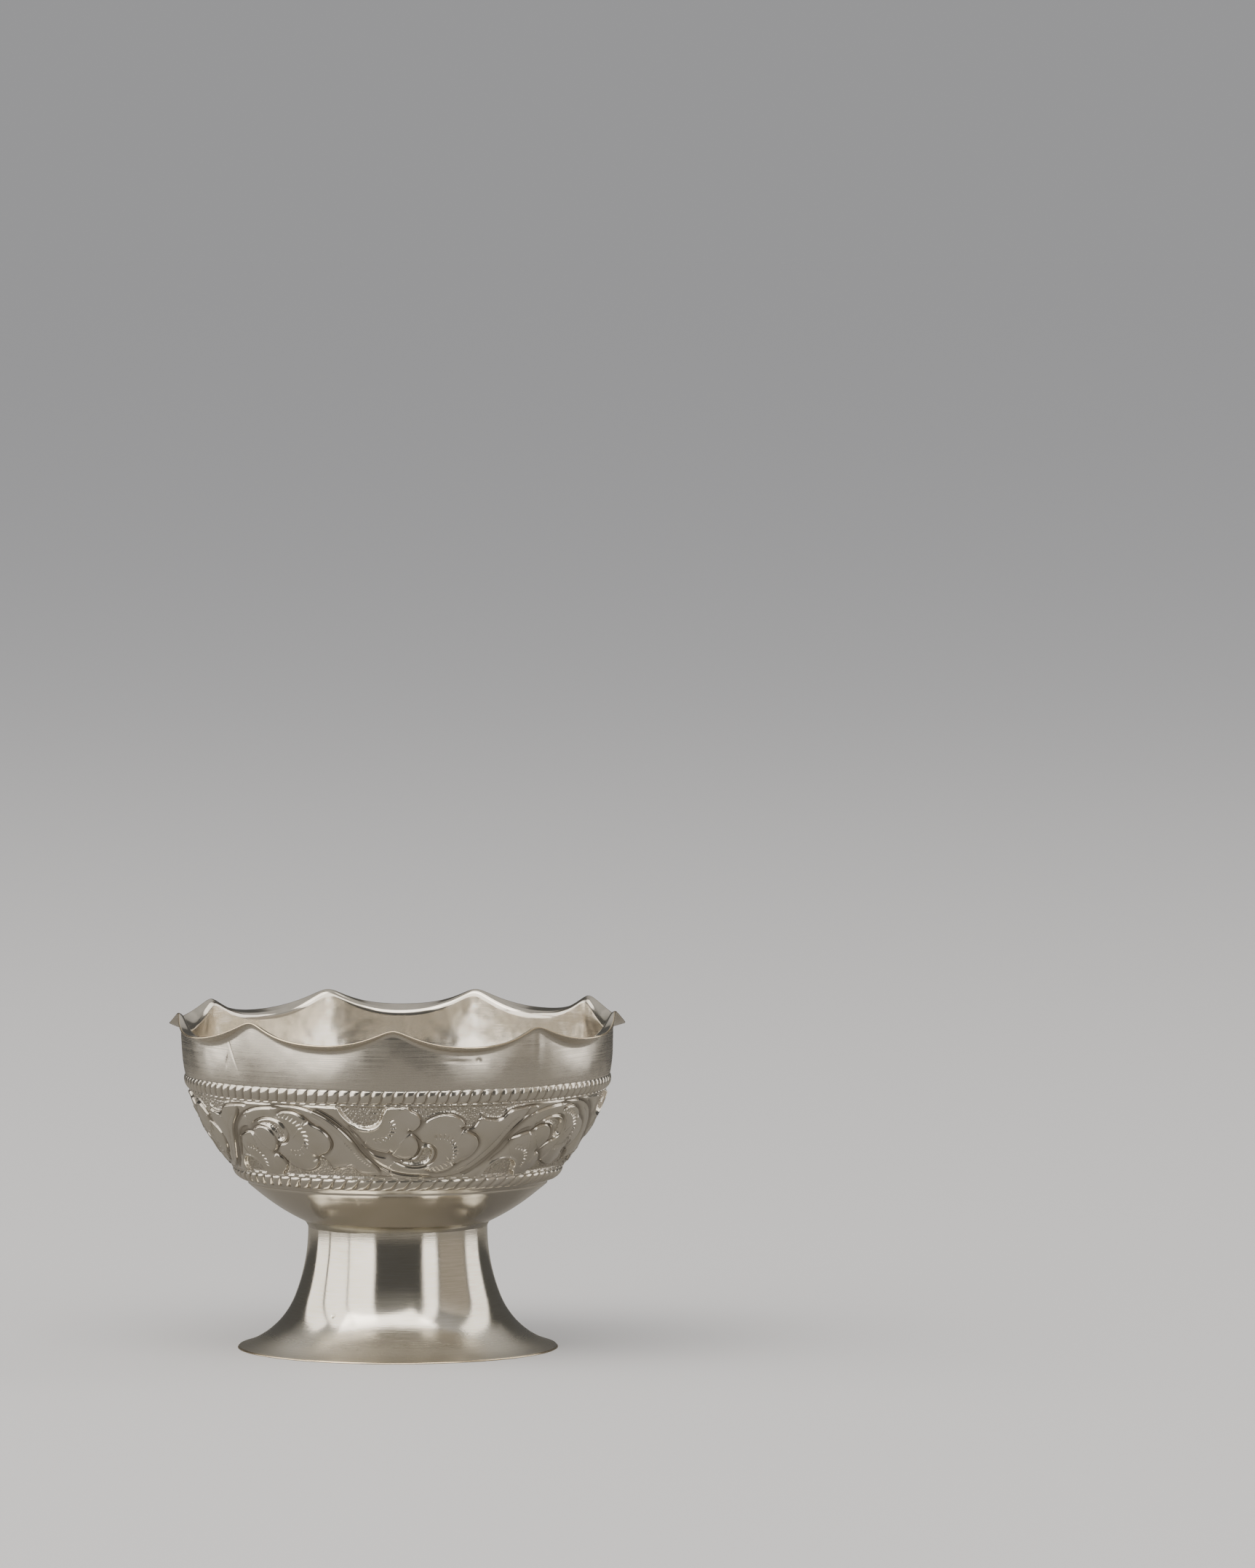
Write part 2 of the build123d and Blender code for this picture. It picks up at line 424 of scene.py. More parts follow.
def stipple(rng, x, y):
    """Punched dots: 1 in the middle of a dot, 0 between them."""
    cells_x = int(round(x.max() / STIPPLE_PITCH)) + 1
    cells_y = int(y.max() / STIPPLE_PITCH) + 2
    jitter = rng.uniform(0.1, 0.9, (cells_y, cells_x, 2))
    column = np.floor(x / STIPPLE_PITCH).astype(int)
    row = np.floor(y / STIPPLE_PITCH).astype(int)
    nearest = np.full(x.shape, 1e9)
    for shift_x in (-1, 0, 1):
        for shift_y in (-1, 0, 1):
            cx = column + shift_x
            cy = np.clip(row + shift_y, 0, cells_y - 1)
            spot = jitter[cy, cx % cells_x]
            dx = (cx + spot[..., 0]) * STIPPLE_PITCH - x
            dy = (cy + spot[..., 1]) * STIPPLE_PITCH - y
            nearest = np.minimum(nearest, np.hypot(dx, dy))
    return bell(nearest, STIPPLE_SIZE)


# --------------------------------------------------------- the bowl's surface


def across_span(arc, low, high):
    """Place across a span of arcs, -1 below to 1 above, and what lies inside."""
    across = (low - arc) / (low - high)
    return np.clip(across, 0, 1) * 2 - 1, (across > 0) & (across < 1)


def rope_relief(azimuth, arc, rope):
    """A bead crossed by leaning S-shaped grooves: its height, and the grooves."""
    v, inside = across_span(arc, rope.low, rope.high)
    bead = np.sqrt(np.clip(1 - v**2, 0, 1))
    curl = 0.05 * np.sin(math.pi * v)
    strand = azimuth / 360 * rope.strands - rope.lean * v + curl
    q = 2 * np.abs(strand - np.floor(strand) - 0.5)  # 0 on a strand, 1 in a groove
    puff = 1 - 0.42 * q**4 - 0.24 * q**2
    return inside * rope.height * bead * puff, inside * smoothstep(0.6, 1.0, q)


def dashes(azimuth, arc, rope):
    """The row of small punched bars beside a rope, one for each strand."""
    v, inside = across_span(arc, rope.dash_low, rope.dash_high)
    place = azimuth / 360 * rope.strands - 0.1 * v
    q = 2 * np.abs(place - np.floor(place) - 0.5)
    bar = smoothstep(0.72, 0.5, q)
    return rope.dash_height * bar * np.clip(1 - v**2, 0, 1) * inside


def from_petal_middle(azimuth):
    """Degrees from the middle of the nearest petal, up to half a step."""
    from_tip = azimuth - np.round(azimuth / PETAL_STEP) * PETAL_STEP
    return PETAL_STEP / 2 - np.abs(from_tip)


def between_tips(azimuth, at_tips, at_petals):
    """Mixes one value for each tip and one for each petal, smoothly."""
    tips = np.array(at_tips)
    petals = np.array(at_petals)
    number = np.floor(azimuth / PETAL_STEP).astype(int)
    t = azimuth / PETAL_STEP - number
    left = tips[number % PETALS]
    right = tips[(number + 1) % PETALS]
    line = left + (right - left) * smoothstep(0, 1, t)
    return line + petals[number % PETALS] * (4 * t * (1 - t)) ** 2


def bend_start(azimuth):
    """Height at which the wall starts to bend out into its petal."""
    mm_per_degree = math.radians(BOWL_RADIUS)
    from_tip = PETAL_STEP / 2 - from_petal_middle(azimuth)
    edge_run = np.hypot(from_tip * mm_per_degree, TIP_ROUNDING)
    place = np.clip(PETAL_STEP / 2 - edge_run / mm_per_degree, 0, None)
    half_gap = BOWL_RADIUS * math.sin(HALF_STEP)
    u = BOWL_RADIUS * np.sin(np.radians(place))
    sweep = (half_gap**2 + CREASE_DROP**2) / (2 * CREASE_DROP)
    arch = sweep - np.sqrt(sweep**2 - u**2)
    arch = 0.75 * arch + 0.25 * CREASE_DROP * (u / half_gap) ** 3
    unevenness = between_tips(azimuth, TIP_OFFSETS, PETAL_OFFSETS)
    return TIP_HEIGHT - CREASE_DROP + arch + unevenness


def petal_length(azimuth, turn):
    """How far the sheet runs past the start of the bend."""
    reach = PETAL_REACH + between_tips(azimuth, LEVEL, PETAL_GROWTH)
    tip_x = BOWL_RADIUS * math.cos(HALF_STEP)
    tip_y = BOWL_RADIUS * math.sin(HALF_STEP)
    depth = BOWL_RADIUS + reach - tip_x
    radius = (tip_y**2 + depth**2) / (2 * depth)
    centre = BOWL_RADIUS + reach - radius
    a = np.radians(from_petal_middle(azimuth))
    edge = centre * np.cos(a) + np.sqrt(radius**2 - (centre * np.sin(a)) ** 2)
    width = np.hypot(np.clip(edge - BOWL_RADIUS, 0.0, None), TIP_LIP)
    bend_width = BEND_RADIUS * (1 - np.cos(turn))
    curled = BEND_RADIUS * np.arccos(np.clip(1 - width / BEND_RADIUS, -1, 1))
    straight = BEND_RADIUS * turn + (width - bend_width) / np.sin(turn)
    return np.where(width < bend_width, curled, straight)


def wall_shape(azimuth, arc):
    """Large unevenness of the raised wall, outwards in mm."""
    run = np.hypot(1 - from_petal_middle(azimuth) / (PETAL_STEP / 2), 0.07) - 0.07
    facet = -WALL_FLATTENING * (2 * run - run**2)
    rise = smoothstep(13.0, 0.0, arc)
    rng = np.random.default_rng(SEED)
    up_the_wall = -arc * WALL_MM_PER_DEGREE
    waves = periodic_noise(rng, azimuth, up_the_wall, 30.0)
    fine = periodic_noise(rng, azimuth, up_the_wall, 9.0, octaves=2)
    hammered = (0.05 * waves + 0.018 * fine) * smoothstep(60, 40, arc)
    return facet * rise + hammered


def mark(azimuth, arc, at, size, depth, lean):
    """A small mark pressed into the wall, or out of it."""
    da = (azimuth - at[0] - lean * (arc - at[1])) * WALL_MM_PER_DEGREE / size[0]
    ds = (arc - at[1]) * WALL_MM_PER_DEGREE / size[1]
    return -depth * np.exp(-(da**2) - ds**2)


def chasing(tile, azimuth, arc):
    """Height of the chasing and the finish masks over the bowl's wall."""
    rng = np.random.default_rng(SEED + 1)
    v = (BAND_LOW - arc) / (BAND_LOW - BAND_HIGH)  # 0 below, 1 above
    in_band = (v > 0) & (v < 1)
    within = np.clip(v, 0, 1)
    wander = 0.22 * periodic_noise(rng, azimuth, v * BAND_WIDTH, 16.0, octaves=2)
    drift = 0.008 * periodic_noise(rng, azimuth, v * BAND_WIDTH, 16.0, octaves=2)
    column = (azimuth + wander + 90) * TILE_PER_DEGREE
    row = np.clip(v + drift * np.sin(math.pi * within), 0, 1) * TILE_HEIGHT
    level = sample(tile.level, column, row)
    raised = sample(tile.raised, column, row)
    bright = sample(tile.bright, column, row)
    floor = sample(tile.floor, column, row)
    dots = stipple(rng, azimuth * BAND_MM_PER_DEGREE, within * BAND_WIDTH)
    shape = (RELIEF * level + raised * RELIEF) * (1 - floor)
    shape = shape - STIPPLE_DEPTH * dots * floor
    border = smoothstep(0, 0.02, v) * smoothstep(1, 0.98, v)
    above_ground = (shape - 0.5 * RELIEF + GROUND_DEPTH) * border
    height = np.where(in_band, above_ground - GROUND_DEPTH, -GROUND_DEPTH)
    height = np.where(arc < UPPER_ROPE.high, 0.0, height)
    height = np.where(arc > LOWER_ROPE.low, -RECESS_DEPTH, height)
    step = 0.06 * smoothstep(50, 46.8, arc)
    height = np.where(arc > RECESS_LOW, step, height)
    upper, upper_gaps = rope_relief(azimuth, arc, UPPER_ROPE)
    lower, lower_gaps = rope_relief(azimuth, arc, LOWER_ROPE)
    height = height + upper + lower
    height += dashes(azimuth, arc, UPPER_ROPE)
    height += dashes(azimuth, arc, LOWER_ROPE)
    grooves = smoothstep(0.45, 1.0, 1 - level) * (1 - floor) + 0.7 * dots * floor
    masks = {
        "ground": in_band * floor,
        "bright": in_band * bright,
        # painted shade: this mask darkens the colour in grooves, stipple and rope gaps
        "recess": in_band * grooves + 0.8 * (upper_gaps + lower_gaps),
    }
    return height, masks


WALL_FOOT_ARC = 11.5  # above this the mesh rows follow the rim
WALL_ROWS = 40


def fixed_arcs():
    """Arcs of the mesh rows that run level round the bowl, from the bottom up."""
    spans = (  # from, to, and spacing in mm
        (89.5, 50, 0.7),
        (50, 47.0, 0.2),
        (47.0, 44.4, FINE_SPACING),
        (44.4, 40.0, FINE_SPACING),
        (40.0, 17.6, FINE_SPACING),
        (17.6, 13.0, FINE_SPACING),
        (13.0, WALL_FOOT_ARC, 0.15),
    )
    rows = []
    for start, stop, spacing in spans:
        count = max(1, int(round(math.radians(start - stop) * BOWL_RADIUS / spacing)))
        rows.extend(np.linspace(start, stop, count, endpoint=False))
    return rows


class Faces(NamedTuple):
    """Both faces of the bowl below its petals, one row for each mesh row."""

    outer_radius: np.ndarray
    outer_height: np.ndarray
    inner_radius: np.ndarray
    inner_height: np.ndarray
    run: np.ndarray  # mm along the section from the bottom
    masks: dict


def bowl_faces(tile, azimuth, level_arcs):
    wall_foot = BOWL_CENTRE - BOWL_RADIUS * math.sin(math.radians(WALL_FOOT_ARC))
    steps = np.linspace(0, 1, WALL_ROWS)
    climb = wall_foot + (bend_start(azimuth)[None, :] - wall_foot) * steps[:, None]
    drop = np.clip((BOWL_CENTRE - climb) / BOWL_RADIUS, None, 1)
    below_level = np.degrees(np.arcsin(np.clip(drop, 0, 1)))
    wall_arc = np.where(drop > 0, below_level, np.degrees(drop))
    level_rows = np.repeat(np.array(level_arcs)[:, None], len(azimuth), axis=1)
    arc = np.vstack((level_rows, wall_arc))
    azimuths = np.broadcast_to(azimuth, arc.shape)
    height, masks = chasing(tile, azimuths, arc)
    height = height + wall_shape(azimuths, arc)
    for at, size, depth, lean in WALL_MARKS:
        height += mark(azimuths, arc, at, size, depth, lean)
    angle = np.radians(np.clip(arc, 0, None))
    radius = BOWL_RADIUS * np.cos(angle)
    rise = BOWL_CENTRE - BOWL_RADIUS * np.sin(angle)
    rise[len(level_arcs):] = climb
    deep = height - SHEET
    inner_radius = radius + deep * np.cos(angle)
    dimple = 0.22 * bell(inner_radius, 0.9) + 0.05 * bell(inner_radius, 2.6)
    return Faces(
        outer_radius=radius + height * np.cos(angle),
        outer_height=rise - height * np.sin(angle),
        inner_radius=inner_radius,
        inner_height=rise - deep * np.sin(angle) - dimple,
        run=BOWL_RADIUS * np.radians(90 - arc),
        masks=masks,
    )


PETAL_ROWS = 16


def petal_rows(azimuth, r0, z0):
    """Outer face, edge and inner face of the turned-out petals, as rows of
    (radius, height), and how far along the sheet each row of a face lies."""
    turn = np.radians(PETAL_TURN + between_tips(azimuth, LEVEL, PETAL_LEANS))
    length = petal_length(azimuth, turn)
    lower = []
    upper = []
    runs = []
    for k in range(1, PETAL_ROWS + 1):
        run = length * k / PETAL_ROWS
        curl = np.minimum(run / BEND_RADIUS, turn)
        flat = np.clip(run - BEND_RADIUS * turn, 0, None)
        r = r0 + BEND_RADIUS * (1 - np.cos(curl)) + flat * np.sin(curl)
        z = z0 + BEND_RADIUS * np.sin(curl) + flat * np.cos(curl)
        sheet = SHEET + (EDGE_SHEET - SHEET) * k / PETAL_ROWS
        lower.append((r, z))
        upper.append((r - sheet * np.cos(curl), z + sheet * np.sin(curl)))
        runs.append(run)
    half = EDGE_SHEET / 2
    middle_r = r - half * np.cos(curl)
    middle_z = z + half * np.sin(curl)
    edge = []
    for swing in np.radians((45, 90, 135)):
        out = half * np.sin(swing)
        side = half * np.cos(swing)
        edge_r = middle_r + out * np.sin(curl) + side * np.cos(curl)
        edge_z = middle_z + out * np.cos(curl) - side * np.sin(curl)
        edge.append((edge_r, edge_z))
    return lower, edge, upper, runs


# ------------------------------------------------------------- mesh building


def quad_faces(index, joined):
    """Quads between neighbouring rings. joined adds last ring to first."""
    if joined:
        lower = index
        upper = np.roll(index, -1, axis=0)
    else:
        lower = index[:-1]
        upper = index[1:]
    corners = (lower, np.roll(lower, -1, axis=1), np.roll(upper, -1, axis=1), upper)
    return np.stack(corners, axis=-1).reshape(-1, 4)


def pole_faces(index):
    """Triangles from the first and last rings to a point on the axis each."""
    columns = index.shape[1]
    first_pole = np.full(columns, index.size)
    last_pole = first_pole + 1
    first = np.stack((np.roll(index[0], -1), index[0], first_pole), axis=-1)
    last = np.stack((index[-1], np.roll(index[-1], -1), last_pole), axis=-1)
    return np.vstack((first, last))


def fill_mesh(mesh, points, quads, triangles, zones):
    loops = np.concatenate((quads.ravel(), triangles.ravel()))
    counts = np.concatenate((np.full(len(quads), 4), np.full(len(triangles), 3)))
    starts = np.concatenate(([0], np.cumsum(counts)[:-1]))
    mesh.vertices.add(len(points))
    mesh.vertices.foreach_set("co", (points * MM).astype(np.float32).ravel())
    mesh.loops.add(len(loops))
    mesh.loops.foreach_set("vertex_index", loops.astype(np.int32))
    mesh.polygons.add(len(counts))
    mesh.polygons.foreach_set("loop_start", starts.astype(np.int32))
    mesh.polygons.foreach_set("loop_total", counts.astype(np.int32))
    mesh.polygons.foreach_set("material_index", zones.astype(np.int32))
    mesh.polygons.foreach_set("use_smooth", np.ones(len(counts), bool))
    mesh.update(calc_edges=True)


def turned_piece(name, azimuth, radii, heights, fields, zones, materials, poles=False):
    """A skin of rings, which ends in two poles or closes on itself.

    fields are values for the materials to read, and zones says which material
    each row of faces has.
    """
    rows, columns = radii.shape
    turn = np.radians(azimuth)
    rings = np.empty((rows, columns, 3))
    rings[..., 0] = radii * np.sin(turn)
    rings[..., 1] = -radii * np.cos(turn)
    rings[..., 2] = heights
    points = rings.reshape(-1, 3)
    index = np.arange(rows * columns).reshape(rows, columns)
    quads = quad_faces(index, joined=not poles)
    triangles = np.empty((0, 3), int)
    face_zones = np.repeat(zones[: len(quads) // columns], columns)
    if poles:
        first_pole = (0, 0, rings[0, :, 2].mean())
        last_pole = (0, 0, rings[-1, :, 2].mean())
        points = np.vstack((points, first_pole, last_pole))
        triangles = pole_faces(index)
        pole_zones = np.repeat((zones[0], zones[-1]), columns)
        face_zones = np.concatenate((face_zones, pole_zones))
    mesh = bpy.data.meshes.new(name)
    fill_mesh(mesh, points, quads, triangles, face_zones)
    for key, values in fields.items():
        layer = mesh.attributes.new(key, "FLOAT", "POINT")
        flat = np.broadcast_to(values, (rows, columns)).ravel()
        if poles:
            flat = np.concatenate((flat, flat[:1], flat[-1:]))
        layer.data.foreach_set("value", flat.astype(np.float32))
    for material in materials:
        mesh.materials.append(material)
    piece = bpy.data.objects.new(name, mesh)
    bpy.context.scene.collection.objects.link(piece)
    return piece


# The bowl's zones of finish, in the order of its materials
WALL, BAND, ROPE, UNDERSIDE, PETAL, INSIDE_WALL, BOTTOM, CUT_EDGE = range(8)
INSIDE_OF = {WALL: INSIDE_WALL, UNDERSIDE: BOTTOM, BAND: BAND, ROPE: ROPE}


def zone_at(arc):
    """The finish of the bowl's outside at an arc."""
    if arc > LOWER_ROPE.low:
        return UNDERSIDE
    if arc > LOWER_ROPE.high or UPPER_ROPE.low > arc > UPPER_ROPE.high:
        return ROPE
    return BAND if arc > UPPER_ROPE.low else WALL


def make_bowl():
    tile = Tile()
    tile.draw()
    tile.add_mirror()
    azimuth = around(COLUMNS)
    level_arcs = fixed_arcs()
    faces = bowl_faces(tile, azimuth, level_arcs)
    lower, edge, upper, runs = petal_rows(
        azimuth, faces.outer_radius[-1], faces.outer_height[-1]
    )
    turned_out = np.array(lower + edge + upper[::-1])
    radii = np.vstack((faces.outer_radius, turned_out[:, 0], faces.inner_radius[::-1]))
    heights = np.vstack((faces.outer_height, turned_out[:, 1], faces.inner_height[::-1]))
    past = faces.run[-1] + np.array(runs)
    edge_run = np.repeat(past[-1:], len(edge), axis=0)
    along = np.vstack((faces.run, past, edge_run, past[::-1], faces.run[::-1]))
    plain = np.zeros((len(turned_out), COLUMNS))
    fields = {key: np.vstack((m, plain, m[::-1])) for key, m in faces.masks.items()}
    fields["along"] = along
    outside = [zone_at(arc) for arc in level_arcs] + [WALL] * WALL_ROWS
    petals = [WALL] * len(lower) + [CUT_EDGE] * len(edge) + [PETAL] * len(upper)
    inside = [INSIDE_OF[zone] for zone in outside[::-1]]
    zones = outside + petals + inside
    bowl = turned_piece("chased_bowl", azimuth, radii, heights, fields, zones,
                        bowl_materials(), poles=True)
    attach(bowl, BODY)
    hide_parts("bowl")


# ------------------------------------------------------- the foot and the seam


def foot_profile():
    """Outside of the foot from its edge up: rows of radius, height and slope."""
    edge_turn = BOW_TURN + FLARE_TURN
    bow_rise = BOW_RADIUS * math.sin(BOW_TURN)
    flare_rise = FLARE_RADIUS * (math.sin(edge_turn) - math.sin(BOW_TURN))
    neck_end = FOOT_EDGE_HEIGHT + bow_rise + flare_rise
    bow_end = NECK_RADIUS + BOW_RADIUS * (1 - math.cos(BOW_TURN))
    line = []
    for turn in np.linspace(edge_turn, BOW_TURN, 110, endpoint=False):
        r = bow_end + FLARE_RADIUS * (math.cos(BOW_TURN) - math.cos(turn))
        drop = FLARE_RADIUS * (math.sin(turn) - math.sin(BOW_TURN))
        line.append((r, neck_end - bow_rise - drop, turn))
    for turn in np.linspace(BOW_TURN, 0, 60, endpoint=False):
        r = NECK_RADIUS + BOW_RADIUS * (1 - math.cos(turn))
        line.append((r, neck_end - BOW_RADIUS * math.sin(turn), turn))
    for z in np.linspace(neck_end, under_bowl(NECK_RADIUS) + 0.15, 12):
        line.append((NECK_RADIUS, z, 0.0))
    return np.array(line)


FOOT_OUTSIDE, FOOT_INSIDE, FOOT_EDGE = range(3)


def make_foot():
    r, z, turn = foot_profile().T[:, :, None]
    azimuth = around(COLUMNS // 2)
    rng = np.random.default_rng(SEED + 3)
    steps = np.hypot(np.diff(r[:, 0]), np.diff(z[:, 0]))
    run = np.concatenate(([0], np.cumsum(steps)))[:, None]
    uneven = 0.02 * periodic_noise(rng, azimuth, run, 40.0, octaves=2)
    uneven = uneven + 0.006 * periodic_noise(rng, azimuth * 0, run, 6.0)
    pit_across = (azimuth - PIT_AZIMUTH) * FOOT_MM_PER_DEGREE
    pit = bell(pit_across, PIT_SIZE) * bell(run - PIT_RUN, PIT_SIZE)
    uneven = uneven - PIT_DEPTH * pit
    outer_r = r + uneven * np.cos(turn)
    outer_z = z + uneven * np.sin(turn)
    inner_r = r + (uneven - SHEET) * np.cos(turn)
    inner_z = np.maximum(z + (uneven - SHEET) * np.sin(turn), 0.0)
    floor_r = inner_r[:1] + 0.3
    edge_r = outer_r[:1] + 0.12
    edge_z = outer_z[:1] - 0.12
    radii = np.vstack((inner_r[::-1], floor_r, edge_r, outer_r))
    heights = np.vstack((inner_z[::-1], np.zeros_like(floor_r), edge_z, outer_z))
    fields = {"along": np.vstack((run[::-1], -0.2, -0.1, run))}
    zones = [FOOT_INSIDE] * len(run) + [FOOT_EDGE] * 2 + [FOOT_OUTSIDE] * len(run)
    foot = turned_piece("spun_foot", azimuth, radii, heights, fields, zones,
                        foot_materials())
    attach(foot, BODY)
    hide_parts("foot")


def make_seam():
    """A hollow fillet of solder, thicker on one side where it ran."""
    columns = 720
    rows = 10
    azimuth = around(columns)
    rng = np.random.default_rng(SEED + 4)
    lumps = periodic_noise(rng, azimuth, azimuth * 0, 24.0, octaves=4)
    width = 0.62 + 0.1 * lumps + 0.16 * bell(azimuth + 60, 40)
    neck = NECK_RADIUS - 0.05
    corner_z = under_bowl(NECK_RADIUS)
    on_bowl_r = NECK_RADIUS + width
    on_bowl_z = under_bowl(on_bowl_r) + 0.05
    on_foot_z = corner_z - width * 1.05
    radii = []
    heights = []
    for k in range(rows + 1):
        t = k / rows
        hollow = 2 * t * (1 - t) * (0.55 + 0.25 * lumps) * width * 0.45
        radii.append(neck * (1 - t) + on_bowl_r * t - hollow)
        heights.append(on_foot_z * (1 - t) + on_bowl_z * t + hollow)
    radii.append(np.full(columns, neck - 0.1))
    heights.append(np.full(columns, corner_z + 0.1))
    seam = turned_piece("solder_fillet", azimuth, np.array(radii), np.array(heights),
                        {}, [0] * len(radii), (solder(),))
    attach(seam, BODY)
    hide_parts("solder_seam")


# ------------------------------------------------------------------ materials

SILVER = (0.84, 0.795, 0.725)
# painted shade: the outside wall gets a darker copy of the silver, to dim its reflections
SHADED_WALL_SILVER = (0.78, 0.735, 0.67)
# painted light: the inside gets a lighter copy of the silver, to brighten it
LIT_INNER_SILVER = (0.93, 0.885, 0.82)
HIDDEN_SILVER = (0.72, 0.69, 0.63)  # inside the foot
EDGE_GLINT_SILVER = (0.86, 0.74, 0.56)  # painted warm highlight: the cut edges are tinted gold for the warm glints the lights give them
SOLDER = (0.66, 0.63, 0.58)
GROOVE_SHADE = (0.2, 0.17, 0.13)  # painted shade in the bottoms of the grooves, the stipple and the rope's gaps


class Nodes:
    """A short way to build a node tree."""

    def __init__(self, tree):
        self.tree = tree

    def add(self, kind, inputs=None, **settings):
        """A new node. An input is a number, a colour, or a socket to link."""
        node = self.tree.nodes.new("ShaderNode" + kind)
        for key, value in settings.items():
            setattr(node, key, value)
        for key, value in (inputs or {}).items():
            if isinstance(value, bpy.types.NodeSocket):
                self.tree.links.new(value, node.inputs[key])
            else:
                node.inputs[key].default_value = value
        return node


class SilverNodes(Nodes):
    """The nodes of one silver material, built up one kind of mark at a time."""

    def __init__(self, tree, roughness):
        super().__init__(tree)
        tree.nodes.clear()
        self.roughness = roughness
        self.place = self.add("TexCoord").outputs["Object"]
        self.shade = self.noise(self.place, 220.0, 4.0, 0.6)
        self.rough = self.spread(self.shade, roughness * 0.85, roughness * 1.2)
        self.height = None

    def noise(self, vector, scale, detail, rough):
        inputs = {"Vector": vector, "Scale": scale, "Detail": detail, "Roughness": rough}
        return self.add("TexNoise", inputs).outputs["Fac"]

    def spread(self, value, low, high, from_low=0.3, from_high=0.7):
        inputs = {"Value": value, "From Min": from_low, "From Max": from_high,
                  "To Min": low, "To Max": high}
        return self.add("MapRange", inputs).outputs["Result"]

    def math(self, operation, a, b):
        return self.add("Math", {0: a, 1: b}, operation=operation).outputs["Value"]

    def mix(self, factor, low, high):
        """A colour between two, which may be sockets."""
        return self.add("Mix", {0: factor, 6: low, 7: high}, data_type="RGBA").outputs[2]

    def attribute(self, key):
        return self.add("Attribute", attribute_name=key).outputs["Fac"]

    def raise_by(self, height):
        self.height = self.math("ADD", self.height, height) if self.height else height

    def roughen_by(self, roughness):
        self.rough = self.math("ADD", self.rough, roughness)

    def lines(self, across, length, depth):
        """Fine lines round the cup, from brushing or turning."""
        split = self.add("SeparateXYZ", {"Vector": self.place}).outputs
        streak = self.add("CombineXYZ", {
            "X": self.math("MULTIPLY", split["X"], 1 / (length * MM)),
            "Y": self.math("MULTIPLY", split["Y"], 1 / (length * MM)),
            "Z": self.math("MULTIPLY", self.attribute("along"), 1 / across),
        })
        grain = self.noise(streak.outputs["Vector"], 1.0, 5.0, 0.65)
        self.raise_by(self.math("MULTIPLY", grain, depth))
        self.roughen_by(self.spread(grain, -0.4 * self.roughness, 0.6 * self.roughness))
        clouds = self.math("MULTIPLY", self.shade, 0.4)
        self.shade = self.math("ADD", clouds, self.math("MULTIPLY", grain, 0.6))

    def strokes(self, across, length, depth):
        """Straight brush strokes that cross a flat bottom."""
        squeeze = self.add("Mapping", {
            "Vector": self.place,
            "Scale": (1 / (across * MM), 1 / (length * MM), 1 / (length * MM)),
            "Rotation": (0, 0, math.radians(12)),
        })
        grain = self.noise(squeeze.outputs["Vector"], 1.0, 6.0, 0.7)
        self.raise_by(self.math("MULTIPLY", grain, depth))
        self.roughen_by(self.spread(grain, -0.3 * self.roughness, 0.4 * self.roughness))

    def waves(self, depth):
        swell = self.noise(self.place, 170.0, 2.0, 0.5)
        self.raise_by(self.math("MULTIPLY", swell, depth))

    def orange_peel(self, depth, grainy_edge):
        """Fine grit. grainy_edge keeps it to the foot's edge, which it dulls."""
        grit = self.noise(self.place, 2600.0, 3.0, 0.6)
        peel = self.math("MULTIPLY", grit, depth)
        if grainy_edge:
            near_edge = self.spread(self.attribute("along"), 1.0, 0.0, 2.5, 8.0)
            peel = self.math("MULTIPLY", peel, near_edge)
            self.roughen_by(self.math("MULTIPLY", near_edge, 0.22))
        self.raise_by(peel)

    def burnish(self):
        """Chased lines are smoother than the rest, and the ground is rougher."""
        polish = self.math("MULTIPLY", self.attribute("bright"), self.roughness * 0.55)
        self.rough = self.math("SUBTRACT", self.rough, polish)
        self.roughen_by(self.math("MULTIPLY", self.attribute("ground"), 0.06))

    def tint(self, colour, mottle):
        """Silver that is duller in clouds and along its lines."""
        dull = [c * (1 - 2.2 * mottle) for c in colour]
        dull[2] *= 1 - mottle
        dullness = self.spread(self.shade, 0.0, 1.0, 0.35, 0.65)
        return self.mix(dullness, (*colour, 1), (*dull, 1))

    # Painted shade: the colour darkens where the recess mask is high, in grooves, stipple
    # and rope gaps.
    def shade_grooves(self, clean):
        depth = self.spread(self.attribute("recess"), 0.0, 0.62, 0.0, 1.0)
        return self.mix(depth, clean, (*GROOVE_SHADE, 1))

    def bump(self):
        inputs = {"Strength": 1.0, "Distance": MM, "Height": self.height}
        return self.add("Bump", inputs).outputs["Normal"]


def silver(name, roughness, colour=SILVER, mottle=0.04, anisotropy=0.0, lines=None,
           strokes=None, waves=0.0, orange_peel=0.0, grainy_edge=False, chased=False):
    """Silver with tool marks. lines and strokes are (across, along, depth) in mm."""
    material = bpy.data.materials.new(name)
    material.use_nodes = True
    nodes = SilverNodes(material.node_tree, roughness)
    if lines:
        nodes.lines(*lines)
    if strokes:
        nodes.strokes(*strokes)
    if waves:
        nodes.waves(waves)
    if orange_peel:
        nodes.orange_peel(orange_peel, grainy_edge)
    if chased:
        nodes.burnish()
    tint = nodes.tint(colour, mottle)
    # painted shade in the grooves and the rope's gaps
    if chased:
        tint = nodes.shade_grooves(tint)
    inputs = {"Metallic": 1.0, "Base Color": tint, "Roughness": nodes.rough}
    if nodes.height:
        inputs["Normal"] = nodes.bump()
    if anisotropy:
        inputs["Anisotropic"] = anisotropy
        inputs["Anisotropic Rotation"] = 0.25
    shader = nodes.add("BsdfPrincipled", inputs)
    nodes.add("OutputMaterial", {"Surface": shader.outputs["BSDF"]})
    return material


